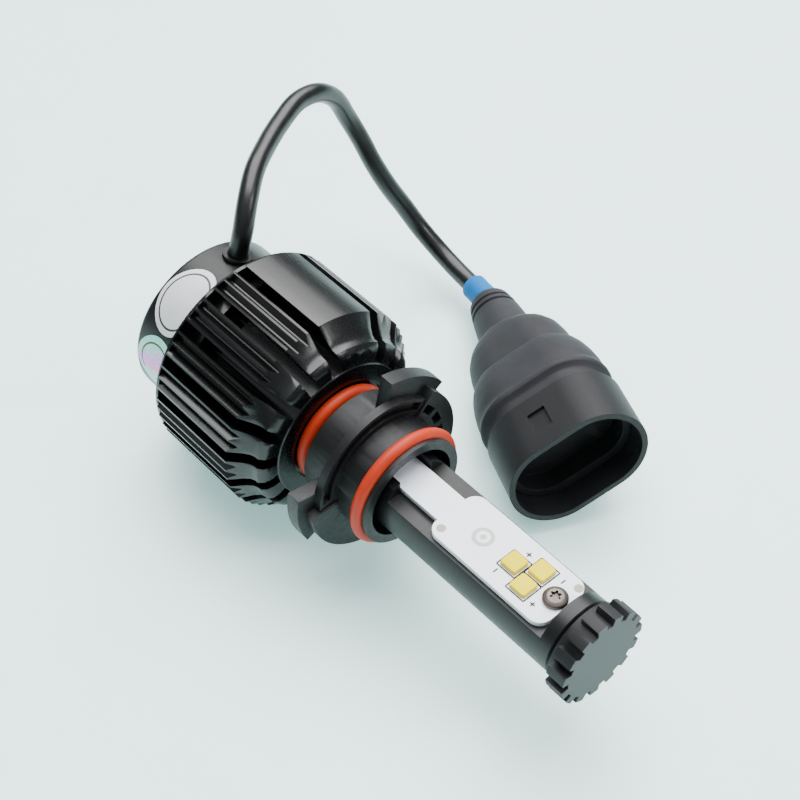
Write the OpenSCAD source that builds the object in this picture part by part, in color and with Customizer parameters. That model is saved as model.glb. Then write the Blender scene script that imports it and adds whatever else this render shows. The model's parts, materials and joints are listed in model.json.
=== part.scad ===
// LED headlight bulb with a finned heat sink, a fan and a cable with a plug.
// The bulb's axis is X and its light end points along +X. The origin is on the
// axis, at the front face of the sealing rim that enters the lamp housing.
// Angles around the axis start at +Y and turn towards +Z.

/* [Light stem] */
// Radius of the round stem
stem_r = 7.2; // [7.1:0.05:7.2]
// Front end of the stem
stem_front = 39; // [39:0.5:41]
// Height of the two board flats above the axis
flat_z = 3.5; // [3.2:0.1:3.8]
// Number of teeth around the end cap
cap_teeth = 15; // [12:1:18]
// Radius over the tips of the cap's teeth
cap_tip_r = 8.8; // [8.2:0.1:9.5]
// Length of the toothed cap
cap_len = 4.6; // [4:0.1:6]

/* [LED boards] */
// Thickness of each board
board_t = 1; // [0.8:0.1:1.2]
// Width of the wide part of a board
board_w = 11.2; // [10.6:0.1:11.4]
// Width of the neck that runs back to the driver
neck_w = 6.2; // [5.6:0.1:6.4]
// Side of a square LED chip
chip_side = 3.5; // [3:0.1:3.6]
// Height of an LED chip with its phosphor
chip_h = 0.8; // [0.6:0.1:1]

/* [Heat sink] */
// Radius over the fins
sink_r = 20.25; // [20:0.05:21]
// Length of the finned barrel
barrel_len = 20.15; // [20:0.05:22]
// Width of a deep slot between fin groups
slot_w = 2.2; // [1.8:0.1:2.4]
// Depth of the small notches between the three fins of a group
notch_depth = 1.3; // [0.8:0.1:1.5]

/* [Rear cover] */
// Outside radius of the rear cover
cover_r = 15.8; // [15.7:0.05:15.8]
// Thickness of the cover's wall
cover_wall = 1.2; // [1:0.1:1.2]
// Number of cooling slots in the rear face
vent_count = 12; // [8:1:14]

/* [Fan] */
// Number of fan blades
blade_count = 7; // [5:1:9]
// Radius over the blades
blade_r = 10.8; // [9:0.1:11]

/* [Collar] */
// Radius of the sealing barrel
seal_r = 10.4; // [10.2:0.05:10.5]
// Radius of the flange
flange_r = 13.9; // [13.5:0.1:14.2]
// Radius over the locking ears behind the flange
ear_r = 17.5; // [16.5:0.1:18]
// Radius over the lobes of the flange
lobe_r = 15.8; // [15:0.1:16.2]

/* [Cable and plug] */
// Diameter of the cable
cable_d = 3.7; // [3.2:0.1:3.7]
// Width of the plug's shell
plug_w = 26.4; // [25.6:0.2:26.6]
// Height of the plug's shell
plug_h = 18; // [17.2:0.2:18.2]

/* [Hidden] */

$fn = 64;
// A cut runs this far past the face that it opens
past = 0.5;
// Gap of a hand-fitted joint that doesn't move
snug = 0.02;
// Gap of the collar's running fit
turning = 0.05;

// Stations along the axis, from the rear
cover_rear = -55.4;
sink_front = -24.25;
sink_rear = sink_front - barrel_len;
hub_front = -18.4;
hub_r = 13.6;
recess_r = 10.2;
stem_rear = -34;
shelf_x = -41.2;
ledge_x = -37;
cavity_floor = -35;
cavity_r = 12;
ledge_r = 11;
slot_deep_x = -40.8;
slot_shallow_r = 16.7;
window_len = 2.4;
first_group = 100;
group_pitch = 20;
groups_per_side = 7;
notch_angle = 3.1;
notch_w = 1.9;
rim_len = 1;
rim_r = sink_r - 0.35;
slot_rear = sink_rear + rim_len;

// Collar stations
collar_rear = -15.4;
flange_front = -7.2;
ear_front = -8.6;
lobe_front = -6.8;
lobe_rear = -10.2;
rib_front = -3;
flange_rear = -11.3;
flange_edge = -8.8;
collar_front = 0;
bore_r = 8.7;
bore_floor = -11;
ring_x = -2;
front_ring_r = 10.4;
front_ring_wire = 1.15;
groove_r = 9.2;
groove_w = 2.4;
rear_ring_x = -17.7;
rear_ring_r = 8.5;
rear_ring_wire = 1.25;

// Boards
board_front = 35.4;
board_rear = -34.6;
shoulder_x = 7.6;
shoulder_r = 1.9;
flat_front = 36.3;
flat_rear = 1;
channel_w = 6.8;
chip_places = [[24.1, 0], [28.2, 2.05], [28.2, -2.05]];
screw_x = 33.2;
screw_hole_r = 1.1;
spigot_r = 5;

// Rear electronics and fan
screw_circle = 13.2;
cover_screw_angles = [100, 220, 340];
fan_rear = -54.1;
fan_front = -47;
driver_t = 1.2;
driver_rear = ledge_x - driver_t;
fan_ring_r = 14.5;
fan_bore_r = 11.5;
hub_cup_r = 5.6;
bearing_r = 1.6;
spindle_r = 0.75;
stator_seat = 5.2;
screw_way_r = 0.85;
gland_x = -50.4;
gland_angle = 74;
label_x = -49.6;

// Plug: place of the middle of its mouth, and how it lies
plug_place = [11.5, 28.6, -6.5];
plug_heading = -25.8;
plug_pitch = 9;
plug_roll = 28.5;
shell_len = 12.2;
shell_wall = 1.1;
socket_depth = 9.5;
sleeve_front = [-32.4, 50, -13.9];
sleeve_rear = [-38.8, 51.4, -14.7];
sleeve_r = 2.65;

// Middle line of the cable, from the gland to the plug
cable_route = [
  [-50.4, 4.3, 14.9], [-50.5, 6, 20], [-52.5, 9, 24], [-56, 13.5, 26],
  [-60, 19.5, 26], [-63, 25, 26], [-65.5, 31, 26], [-66.5, 36.5, 24.5],
  [-67, 41, 20.5], [-66.5, 43.5, 15], [-64.5, 45, 10], [-62, 46, 5],
  [-59.5, 47.5, 0], [-57, 49.5, -5], [-54, 51, -9.5], [-49.5, 52, -13],
  [-44.5, 52, -14.5], [-39, 51.4, -14.7], [-33.6, 50.3, -14]
];
cable_sides = 8;
cable_steps = 2;

black = "#17181a";
satin_black = "#232426";
dark_rubber = "#2f3133";
board_white = "#e9edf2";
seal_red = "#cf4a2e";

// Turns a shape that was made along Z so that it lies along the bulb's axis
module along_axis(x) {
  translate([x, 0, 0]) rotate([0, 90, 0]) children();
}

// A round bar along the axis from one station to another
module bar(from, to, r) {
  along_axis(from) cylinder(r = r, h = to - from);
}

// A solid turned around the axis from [station, radius] points
module turned(points) {
  rotate([0, 90, 0]) rotate_extrude($fn = 96) polygon([for (p = points) [p[1], p[0]]]);
}

// A ring of round section around the axis
module round_ring(x, ring_r, wire_r) {
  along_axis(x) rotate_extrude($fn = 96) translate([ring_r, 0]) circle(r = wire_r, $fn = 32);
}

// Part of a disc between two angles around the axis
module sector(from, to, x0, x1, r) {
  reach = 2 * r;
  steps = [for (k = [0 : 4]) from + (to - from) * k / 4];
  wedge = concat([[0, 0]], [for (a = steps) [reach * cos(a), reach * sin(a)]]);
  intersection() {
    bar(x0, x1, r);
    translate([x0 - past, 0, 0]) rotate([90, 0, 90])
      linear_extrude(x1 - x0 + 2 * past) polygon(wedge);
  }
}

// Radial bar at an angle around the axis, between two radii
module spoke(angle, x, r0, r1, pin_r) {
  rotate([angle, 0, 0]) translate([x, r0, 0]) rotate([-90, 0, 0])
    cylinder(r = pin_r, h = r1 - r0);
}

// Angles of the fin groups on both sides of the two smooth lands
group_angles = [
  for (side = [0, 180], k = [0 : groups_per_side - 1]) first_group + side + k * group_pitch
];
// Angles of the deep slots on each side of every group
slot_angles = [
  for (side = [0, 180], k = [0 : groups_per_side])
    first_group + side + (k - 0.5) * group_pitch
];

// ---- Stem and boards ----

module stem() {
  socket_len = 3;
  color(satin_black) difference() {
    turned([
      [stem_rear, 0], [stem_rear, stem_r], [stem_front - 0.4, stem_r],
      [stem_front, stem_r - 0.4], [stem_front, 0]
    ]);
    for (side = [1, -1]) scale([1, 1, side]) {
      translate([flat_rear, -stem_r - past, flat_z])
        cube([flat_front - flat_rear, 2 * (stem_r + past), stem_r]);
      translate([stem_rear - past, -channel_w / 2, flat_z])
        cube([flat_rear - stem_rear + 2 * past, channel_w, stem_r]);
    }
    along_axis(stem_front - socket_len) cylinder(r = spigot_r + snug, h = socket_len + past);
    translate([screw_x, 0, -stem_r]) cylinder(r = screw_hole_r, h = 2 * stem_r, $fn = 32);
  }
}

module end_cap() {
  spigot_len = 2.8;
  root_r = 7.5;
  tooth_w = 1.9;
  cap_rear = stem_front + 0.3;
  teeth_rear = cap_rear + 0.9;
  cap_front = cap_rear + cap_len;
  color("#4a4c4d") {
    bar(stem_front - spigot_len, cap_rear + past, spigot_r);
    bar(cap_rear, cap_front, root_r);
    intersection() {
      bar(teeth_rear, cap_front, cap_tip_r);
      for (k = [0 : cap_teeth - 1]) rotate([360 * k / cap_teeth, 0, 0])
        translate([teeth_rear - past, root_r - 1, -tooth_w / 2])
          cube([cap_len + 2 * past, cap_tip_r, tooth_w]);
    }
  }
}

// Outline of a board: long neck, rounded shoulders and a rounded wide end
module board_outline() {
  corner = 2.4;
  w = board_w / 2;
  n = neck_w / 2;
  wide_x = shoulder_x + shoulder_r;
  difference() {
    union() {
      translate([board_rear, -n]) square([wide_x - board_rear + corner, neck_w]);
      translate([wide_x, -w + corner]) square([board_front - wide_x, board_w - 2 * corner]);
      translate([wide_x + corner, -w]) square([board_front - wide_x - 2 * corner, board_w]);
      for (y = [w - corner, -w + corner]) {
        translate([wide_x + corner, y]) circle(r = corner);
        translate([board_front - corner, y]) circle(r = corner);
      }
    }
    translate([screw_x, 0]) circle(r = 1.15, $fn = 32);
  }
}

module led_board_top() {
  color(board_white) translate([0, 0, flat_z + snug]) linear_extrude(board_t) board_outline();
}

module led_board_bottom() {
  color(board_white) mirror([0, 0, 1]) translate([0, 0, flat_z + snug])
    linear_extrude(board_t) board_outline();
}

// One flat LED chip: a base plate with a smaller phosphor square on it
module led_chip() {
  base_h = 0.35;
  lip = 0.15;
  translate([-chip_side / 2, -chip_side / 2, 0]) cube([chip_side, chip_side, base_h]);
  translate([-chip_side / 2 + lip, -chip_side / 2 + lip, 0])
    cube([chip_side - 2 * lip, chip_side - 2 * lip, chip_h]);
}

module led_chips_top() {
  color("#f3d94a") for (p = chip_places)
    translate([p[0], p[1], flat_z + board_t + 2 * snug]) led_chip();
}

module led_chips_bottom() {
  color("#f3d94a") mirror([0, 0, 1]) for (p = chip_places)
    translate([p[0], p[1], flat_z + board_t + 2 * snug]) led_chip();
}

module board_screws() {
  head_r = 2.1;
  head_h = 1.1;
  shank_r = 1;
  socket_r = 0.75;
  seat = flat_z + board_t + 2 * snug;
  color("#a8a39c") for (side = [0, 180]) rotate([side, 0, 0]) translate([screw_x, 0, 0]) difference() {
    union() {
      translate([0, 0, seat]) cylinder(r = head_r, h = head_h);
      translate([0, 0, 0.4]) cylinder(r = shank_r, h = seat, $fn = 32);
    }
    translate([0, 0, seat + 0.4]) cylinder(r = socket_r, h = head_h, $fn = 6);
  }
}

// ---- Heat sink ----

module sink_body() {
  turned([
    [sink_rear + 0.4, 0], [sink_rear + 0.4, rim_r - 0.6], [sink_rear, rim_r - 0.5],
    [sink_rear + 0.35, rim_r], [slot_rear, rim_r], [slot_rear, sink_r], [sink_front, sink_r], [sink_front + 1.9, 18.1],
    [sink_front + 2.9, 17.3], [sink_front + 3.6, 17.05], [sink_front + 4.4, 17],
    [sink_front + 5.2, 16.2], [sink_front + 5.6, 14.9], [hub_front - 0.2, hub_r],
    [hub_front, hub_r - 0.2], [hub_front, 0]
  ]);
}

module heat_sink() {
  color(black) difference() {
    sink_body();
    // Seat for the rear cover, driver chamber, ledge and stem bore
    bar(sink_rear - past, shelf_x, cover_r + turning);
    bar(shelf_x - past, ledge_x, cavity_r);
    bar(ledge_x - past, cavity_floor, ledge_r);
    bar(cavity_floor - past, hub_front + past, stem_r + snug);
    // Recess for the rear O-ring
    bar(hub_front - 0.7, hub_front + past, recess_r);
    for (a = slot_angles) rotate([a, 0, 0]) {
      translate([slot_deep_x, hub_r, -slot_w / 2])
        cube([hub_front - slot_deep_x + 1, sink_r, slot_w]);
      translate([slot_rear, slot_shallow_r, -slot_w / 2])
        cube([slot_deep_x - slot_rear + past, sink_r, slot_w]);
      // Air window from the chamber into the slot
      translate([slot_deep_x + 0.2, cavity_r - 1, -slot_w / 2 + 0.2])
        cube([window_len, hub_r, slot_w - 0.4]);
    }
    for (a = group_angles, side = [-1, 1]) rotate([a + side * notch_angle, 0, 0])
      translate([slot_rear, sink_r, 0]) rotate([90, 0, 90])
        linear_extrude(barrel_len + 4) polygon([
          [0.4, -notch_w * 0.62], [0.4, notch_w * 0.62], [-notch_depth, 0.12], [-notch_depth, -0.12]
        ]);
    for (a = cover_screw_angles) rotate([a, 0, 0]) translate([shelf_x - past, screw_circle, 0])
      rotate([0, 90, 0]) cylinder(r = 0.72, h = 3.5, $fn = 24);
  }
}

// ---- Rear cover and its screws ----

// Rounded rear edge of the cover, as [station, radius] points
function cover_edge(r, x, round) = [
  for (k = [0 : 5]) [x + round * (1 - sin(18 * k)), r - round * (1 - cos(18 * k))]
];

module rear_cover() {
  edge_round = 0.7;
  inner = cover_r - cover_wall;
  face = cover_rear + cover_wall;
  color(satin_black) difference() {
    turned(concat(
      [[shelf_x - snug, inner], [shelf_x - snug, cover_r]],
      cover_edge(cover_r, cover_rear, edge_round),
      [[cover_rear, 0], [face, 0], [face, inner]]
    ));
    for (k = [0 : vent_count - 1]) rotate([360 * k / vent_count, 0, 0])
      translate([cover_rear - past, 5, -0.8]) cube([cover_wall + 2 * past, 6.2, 1.6]);
    for (a = cover_screw_angles) rotate([a, 0, 0]) translate([0, screw_circle, 0]) {
      bar(cover_rear - past, face + past, screw_way_r);
      bar(cover_rear - past, cover_rear + 0.8, 1.45);
    }
    spoke(gland_angle, gland_x, inner - 2, cover_r + 2, 2.3);
  }
}

module cover_screws() {
  color("#8d8f91") for (a = cover_screw_angles) rotate([a, 0, 0]) translate([0, screw_circle, 0])
    difference() {
      union() {
        bar(cover_rear, cover_rear + 0.78, 1.35);
        bar(cover_rear, shelf_x + 2.4, 0.7);
      }
      along_axis(cover_rear - past) cylinder(r = 0.6, h = past + 0.45, $fn = 6);
    }
}

// ---- Fan ----

module fan_frame() {
  boss_r = 2.6;
  plate_t = 1.2;
  strut_t = 0.9;
  strut_w = 1.6;
  strut_rear = fan_front - 1.05;
  wire_way = 4.8;
  color(black) difference() {
    union() {
      difference() {
        bar(fan_rear, fan_front, fan_ring_r);
        bar(fan_rear - past, fan_front + past, fan_bore_r);
      }
      bar(fan_front - plate_t, fan_front, hub_cup_r);
      bar(fan_front - stator_seat, fan_front - plate_t / 2, boss_r);
      for (a = [20, 140, 260]) rotate([a, 0, 0])
        translate([strut_rear, boss_r, -strut_w / 2]) cube([strut_t, fan_bore_r - boss_r + 1, strut_w]);
    }
    bar(fan_rear - past, fan_front + past, bearing_r);
    for (a = cover_screw_angles) rotate([a, 0, 0]) translate([0, screw_circle, 0])
      bar(fan_rear - past, fan_front + past, screw_way_r);
    // Way for the cable's wires past the fan
    rotate([gland_angle, 0, 0]) translate([gland_x - wire_way / 2, 13, -wire_way / 2])
      cube([10, 5, wire_way]);
  }
}

module fan_bearing() {
  color("#b08d4a") difference() {
    bar(fan_front - stator_seat, fan_front - 0.6, bearing_r - snug);
    bar(fan_front - stator_seat - past, fan_front, spindle_r + 0.03);
  }
}

// One thin blade, twisted by tilting it about its radius
module fan_blade() {
  translate([fan_rear + 2.6, 0, 0]) intersection() {
    translate([0, hub_cup_r - 0.4, 0]) rotate([0, 38, 0])
      translate([-2.6, 0, -0.35]) cube([5.2, blade_r - hub_cup_r + 0.4, 0.7]);
    bar(-2.2, 2.2, blade_r);
  }
}

module fan_rotor() {
  cup_rear = fan_rear + 0.4;
  cup_front = fan_front - 1.7;
  color("#1d1e20") {
    difference() {
      bar(cup_rear, cup_front, hub_cup_r);
      bar(cup_rear + 0.8, cup_front + past, hub_cup_r - 0.7);
    }
    bar(cup_rear, fan_front - 0.9, spindle_r);
    for (k = [0 : blade_count - 1]) rotate([360 * k / blade_count, 0, 0]) fan_blade();
  }
}

module fan_magnet() {
  color("#3b3c3e") difference() {
    bar(fan_rear + 1.4, fan_front - 1.9, hub_cup_r - 0.7 - snug);
    bar(fan_rear + 1, fan_front, hub_cup_r - 1.4);
  }
}

module fan_stator() {
  color("#a5642f") difference() {
    union() {
      bar(fan_front - 4.6, fan_front - 2, 3.2);
      for (k = [0 : 3]) rotate([90 * k + 45, 0, 0])
        translate([fan_front - 4.4, 0, -0.8]) cube([2.2, 3.85, 1.6]);
    }
    bar(fan_front - 5, fan_front - 1, 2.6 + snug);
  }
}

// ---- Driver ----

module driver_board() {
  color("#2f6b3c") difference() {
    bar(driver_rear, ledge_x - snug, cavity_r - 0.1);
    for (a = [10, 130, 250]) rotate([a, 0, 0]) translate([driver_rear - past, 7.6, 0])
      rotate([0, 90, 0]) cylinder(r = 1.6, h = driver_t + 2 * past, $fn = 32);
  }
}

module driver_inductor() {
  color("#6b6e70") translate([0, -4.4, 3.4]) difference() {
    bar(driver_rear - 3.2, driver_rear - snug, 3.2);
    difference() {
      bar(driver_rear - 2.6, driver_rear - 0.6, 3.6);
      bar(driver_rear - 2.8, driver_rear - 0.4, 2.5);
    }
  }
}

module driver_capacitors() {
  color("#b9bcc0") for (p = [[5.2, -3.8], [1.4, -7.2]]) translate([0, p[0], p[1]])
    bar(driver_rear - 4.4, driver_rear - snug, 1.7);
}

module driver_chips() {
  color("#1b1c1e") {
    translate([driver_rear - 1 - snug, 1.2, 2.6]) cube([1, 4, 3.2]);
    translate([driver_rear - 0.8 - snug, -6.6, -4.6]) cube([0.8, 3, 3]);
    translate([driver_rear - 1.2 - snug, -2, -2]) cube([1.2, 3.4, 2.2]);
  }
}

module led_wires() {
  wire_r = 0.4;
  lift = flat_z + board_t + wire_r + 4 * snug;
  color("#c8342c") for (y = [-1.3, 1.3], side = [-1, 1])
    translate([0, y, side * lift]) bar(ledge_x, board_rear + 1.6, wire_r);
}

// ---- Collar and seals ----

module collar_ears() {
  sector(33, 79, flange_rear, ear_front, ear_r);
  sector(168, 206, flange_rear, ear_front, ear_r);
  sector(284, 320, flange_rear, ear_front, ear_r);
}

module collar_lobes() {
  sector(-12, 46, lobe_rear, lobe_front, lobe_r);
  sector(182, 256, lobe_rear, lobe_front, lobe_r);
}

module collar() {
  rib_in = stem_r + 0.4;
  pocket_floor = -8.1;
  color(satin_black) difference() {
    union() {
      bar(collar_rear, collar_front, seal_r);
      bar(flange_edge, flange_front, flange_r);
      collar_ears();
      collar_lobes();
    }
    bar(bore_floor, collar_front + past, bore_r);
    bar(collar_rear - past, bore_floor + past, stem_r + turning);
    // Groove for the front O-ring
    difference() {
      bar(ring_x - groove_w / 2, ring_x + groove_w / 2, lobe_r);
      bar(ring_x - groove_w, ring_x + groove_w, groove_r);
    }
    // Ring-shaped recess in the flange's face, left solid at the lower lobe
    difference() {
      bar(pocket_floor, flange_front + 2, flange_r - 0.7);
      bar(pocket_floor - past, flange_front + 3, seal_r + 1.2);
      sector(176, 262, pocket_floor - past, flange_front + 3, flange_r);
      for (a = [10, 28, 46]) rotate([a, 0, 0])
        translate([pocket_floor - past, seal_r, -0.6]) cube([4, flange_r - seal_r, 1.2]);
    }
  }
  color(satin_black) difference() {
    for (k = [0 : 5]) rotate([60 * k + 20, 0, 0])
      translate([bore_floor - 0.2, rib_in, -0.7]) cube([6.4, bore_r + 0.2 - rib_in, 1.4]);
    bar(bore_floor - past, rib_front, rib_in);
  }
}

module front_o_ring() {
  color(seal_red) round_ring(ring_x, front_ring_r, front_ring_wire);
}

module rear_o_ring() {
  color(seal_red) round_ring(rear_ring_x, rear_ring_r, rear_ring_wire);
}

// ---- Labels ----

// A thin label bent over the cover: half lengths along the axis and around it
module label(x, angle, half_x, half_y) {
  label_t = 0.12;
  outline = [for (k = [0 : 31]) [half_x * cos(k * 11.25), half_y * sin(k * 11.25)]];
  intersection() {
    difference() {
      bar(x - 9, sink_rear - 0.1, cover_r + snug + label_t);
      bar(x - 10, sink_rear + 1, cover_r + snug);
    }
    rotate([angle, 0, 0]) translate([x, cover_r - 5, 0]) rotate([-90, 0, 0])
      linear_extrude(8) polygon(outline);
  }
}

module oval_label() {
  color("#c9cbcd") label(label_x, 122, 5, 6.8);
}

module round_label() {
  color("#b9d8c8") label(label_x, 171, 5, 5.5);
}

// ---- Cable ----

module cable_gland() {
  bore = cable_d / 2 + 0.06;
  color(black) difference() {
    union() {
      spoke(gland_angle, gland_x, 14.7, cover_r + 0.6, 2.28);
      spoke(gland_angle, gland_x, cover_r + 0.05, cover_r + 0.6, 2.7);
    }
    spoke(gland_angle, gland_x, 13, cover_r + 3, bore);
  }
}

// Smooth curve through the route's points
function hermite(a, b, c, d, t) = b + 0.5 * t * (c - a
  + t * (2 * a - 5 * b + 4 * c - d + t * (3 * (b - c) + d - a)));
function route_point(p, i) = p[max(0, min(len(p) - 1, i))];
function smooth_route(p, n) = [
  for (i = [0 : len(p) - 2], k = [0 : n - 1])
    hermite(route_point(p, i - 1), p[i], p[i + 1], route_point(p, i + 2), k / n),
  p[len(p) - 1]
];
function unit(v) = v / norm(v);
// Direction of the line at each of its points
function directions(p) = [
  for (i = [0 : len(p) - 1]) unit(route_point(p, i + 1) - route_point(p, i - 1))
];
// Sideways direction carried along the line without twist
function sideways(t, i) = i == 0
  ? unit(cross(t[0], [1, 0, 0]))
  : let (last = sideways(t, i - 1)) unit(last - t[i] * (last * t[i]));

module tube(route, r, sides) {
  line = smooth_route(route, cable_steps);
  way = directions(line);
  count = len(line);
  rings = [
    for (i = [0 : count - 1])
      let (u = sideways(way, i), v = cross(way[i], u))
      for (k = [0 : sides - 1])
        line[i] + r * (cos(360 * k / sides) * u + sin(360 * k / sides) * v)
  ];
  walls = [
    for (i = [0 : count - 2], k = [0 : sides - 1])
      let (n = (k + 1) % sides)
      [i * sides + k, i * sides + n, (i + 1) * sides + n, (i + 1) * sides + k]
  ];
  polyhedron(points = rings, faces = concat(
    [for (f = walls) [f[0], f[1], f[2]]], [for (f = walls) [f[0], f[2], f[3]]],
    [[for (k = [0 : sides - 1]) sides - 1 - k]],
    [[for (k = [0 : sides - 1]) (count - 1) * sides + k]]
  ));
}

module cable() {
  color(black) tube(cable_route, cable_d / 2, cable_sides);
}

// ---- Plug ----

// Puts a shape made in the plug's own axes, mouth along +X, where the plug lies
module in_plug() {
  translate(plug_place) rotate([0, 0, plug_heading]) rotate([0, -plug_pitch, 0])
    rotate([plug_roll, 0, 0]) children();
}

// Flat shape with round ends, from half its width and half its height
module rounded_slot(half_w, half_h) {
  mid = half_w - half_h;
  union() {
    translate([-half_h, -mid]) square([2 * half_h, 2 * mid]);
    for (y = [-mid, mid]) translate([0, y]) circle(r = half_h, $fn = 48);
  }
}

// A length of that shape along the plug's axis
module plug_bar(from, to, half_w, half_h) {
  along_axis(from) linear_extrude(to - from) rounded_slot(half_w, half_h);
}

// Body whose outline blends between [station, half width, half height] slices
module plug_loft(slices) {
  slice_t = 0.05;
  hull() for (s = slices) plug_bar(s[0], s[0] + slice_t, s[1], s[2]);
}

shell_hw = plug_w / 2;
shell_hh = plug_h / 2;
cavity_hw = shell_hw - shell_wall;
cavity_hh = shell_hh - shell_wall;
liner_front = -5.1;
blade_y = 4.4;
key_y = 4.6;

module plug_shell() {
  color(dark_rubber) in_plug() difference() {
    union() {
      plug_bar(-shell_len, 0, shell_hw, shell_hh);
      plug_bar(-shell_len - 0.9, -shell_len, shell_hw - 1.2, shell_hh - 1.2);
    }
    difference() {
      plug_bar(-socket_depth - 2, past, cavity_hw, cavity_hh);
      for (y = [-key_y, key_y]) translate([liner_front + 0.1, y - 0.35, cavity_hh - 0.7])
        cube([-liner_front - 0.7, 0.7, 2]);
    }
    // Latch window on the top of the shell
    translate([-8.6, -2.6, shell_hh - 0.6]) cube([4.6, 3.4, 2]);
    for (y = [-blade_y, blade_y]) translate([-shell_len - 2, y - 1.3, -0.7]) cube([3, 2.6, 1.4]);
  }
}

module plug_insert() {
  color("#26282a") in_plug() difference() {
    plug_bar(-socket_depth - 2 + snug, liner_front, cavity_hw - 0.15, cavity_hh - 0.15);
    plug_bar(-socket_depth, past, cavity_hw - 1.5, cavity_hh - 1.9);
    for (y = [-blade_y, blade_y]) translate([-socket_depth - 4, y - 1.25, -0.6])
      cube([6, 2.5, 1.2]);
  }
}

module plug_terminals() {
  blade_t = 0.8;
  blade_w = 2.3;
  blade_rear = -14.6;
  blade_front = -8.4;
  crimp_len = 3.2;
  color("#b7b2a6") in_plug() for (y = [-blade_y, blade_y]) {
    translate([blade_rear, y - blade_w / 2, -blade_t / 2])
      cube([blade_front - blade_rear, blade_w, blade_t]);
    translate([blade_rear - crimp_len + 0.2, y, 0]) rotate([0, 90, 0])
      cylinder(r = 1.1, h = crimp_len, $fn = 24);
  }
}

boot_front = -shell_len - 0.92;

module plug_boot() {
  color(dark_rubber) difference() {
    in_plug() difference() {
      union() {
        plug_loft([
          [boot_front - 0.1, 12.6, 8.4], [boot_front - 0.9, 13.2, 9],
          [-20, 12.8, 8.7], [-24, 12.1, 8.2], [-26.7, 10.8, 7.3]
        ]);
        plug_loft([[-26.7, 10.6, 7.3], [-33, 10, 7], [-36, 8.4, 6.4], [-37.8, 6.6, 5.5]]);
        plug_loft([[-37.8, 5.7, 5.4], [-44, 5, 4.9], [-48.4, 4.3, 4.2], [-50.2, 3.7, 3.6]]);
      }
      plug_loft([[boot_front, 11, 6.2], [-23, 10, 5.6], [-26, 8, 4.6]]);
      plug_loft([[-25, 8, 4.6], [-34, 6.6, 4.2], [-38, 3.6, 3.4]]);
      plug_bar(-46, -37, 2.9, 2.8);
    }
    // Way in for the cable and its sleeve, along the sleeve's own line
    sleeve_line(-7, 1, sleeve_r + snug);
  }
}

// A bar along the sleeve's line, from a place behind its front end to one ahead
module sleeve_line(ahead, behind, r) {
  run = sleeve_front - sleeve_rear;
  length = norm(run);
  translate(sleeve_rear) rotate([0, acos(run[2] / length), atan2(run[1], run[0])])
    translate([0, 0, -behind]) cylinder(r = r, h = length + behind - ahead, $fn = 32);
}

module cable_sleeve() {
  color("#2a8fd0") difference() {
    sleeve_line(0, 0, sleeve_r);
    sleeve_line(-1, 1, cable_d / 2 + 0.1);
  }
}

stem();
end_cap();
led_board_top();
led_board_bottom();
led_chips_top();
led_chips_bottom();
board_screws();
heat_sink();
rear_cover();
cover_screws();
fan_frame();
fan_rotor();
fan_magnet();
fan_stator();
fan_bearing();
driver_board();
driver_inductor();
driver_capacitors();
driver_chips();
led_wires();
collar();
front_o_ring();
rear_o_ring();
oval_label();
round_label();
cable_gland();
cable();
cable_sleeve();
plug_boot();
plug_shell();
plug_insert();
plug_terminals();
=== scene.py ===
"""Looks of an LED headlight bulb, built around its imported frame.

The frame is in metres. The bulb's axis is X with the light end along +X, and
angles around the axis start at +Y and turn towards +Z. The bulb's sizes are
in millimetres, and MM turns them into metres. The sizes and places of the
floor and the lights are in metres.
"""

import json
import bmesh
import bpy
import numpy as np
from mathutils import Matrix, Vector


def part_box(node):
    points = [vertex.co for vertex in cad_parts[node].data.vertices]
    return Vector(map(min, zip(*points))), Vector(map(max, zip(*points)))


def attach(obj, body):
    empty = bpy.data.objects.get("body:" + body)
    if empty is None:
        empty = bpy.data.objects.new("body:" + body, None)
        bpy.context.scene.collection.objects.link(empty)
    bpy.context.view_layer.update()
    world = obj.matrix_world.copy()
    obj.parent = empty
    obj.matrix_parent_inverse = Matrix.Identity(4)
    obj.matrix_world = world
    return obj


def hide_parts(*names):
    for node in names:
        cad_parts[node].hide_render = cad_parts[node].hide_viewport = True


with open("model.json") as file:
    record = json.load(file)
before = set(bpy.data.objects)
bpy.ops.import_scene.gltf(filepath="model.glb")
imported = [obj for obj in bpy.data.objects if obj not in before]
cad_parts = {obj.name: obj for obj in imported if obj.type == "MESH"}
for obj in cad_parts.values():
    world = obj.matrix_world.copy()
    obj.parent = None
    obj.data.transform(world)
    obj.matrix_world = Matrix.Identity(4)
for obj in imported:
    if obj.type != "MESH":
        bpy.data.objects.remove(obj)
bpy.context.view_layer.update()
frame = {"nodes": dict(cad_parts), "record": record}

MM = 0.001
TURN = 2 * np.pi
HOUSING = "housing"
COLLAR = "locking_collar"

# A Mix node's two colour inputs and its colour output go by number, because
# the node repeats their names for every kind of value
MIX_A, MIX_B, MIX_OUT = 6, 7, 2


# ---- Camera and cable ----

def make_camera():
    """A long lens looking down on the bulb from its light end.

    It looks at a point beside the sink from an azimuth and an elevation, and
    it is level from left to right.
    """
    camera = bpy.data.objects.new("camera", bpy.data.cameras.new("camera"))
    bpy.context.scene.collection.objects.link(camera)
    aim = np.array([-16.57, 12.2, 0]) * MM
    distance = 311.6 * MM
    azimuth, elevation = np.radians((-41.83, 48.6))
    back = np.array([np.cos(elevation) * np.cos(azimuth),
                     np.cos(elevation) * np.sin(azimuth), np.sin(elevation)])
    right = np.array([-np.sin(azimuth), np.cos(azimuth), 0])
    turn = Matrix(np.column_stack([right, np.cross(back, right), back]).tolist()).to_4x4()
    camera.matrix_world = Matrix.Translation((aim + distance * back).tolist()) @ turn
    camera.data.lens = 80.7
    camera.data.sensor_width = 36
    bpy.context.scene.camera = camera


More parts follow.
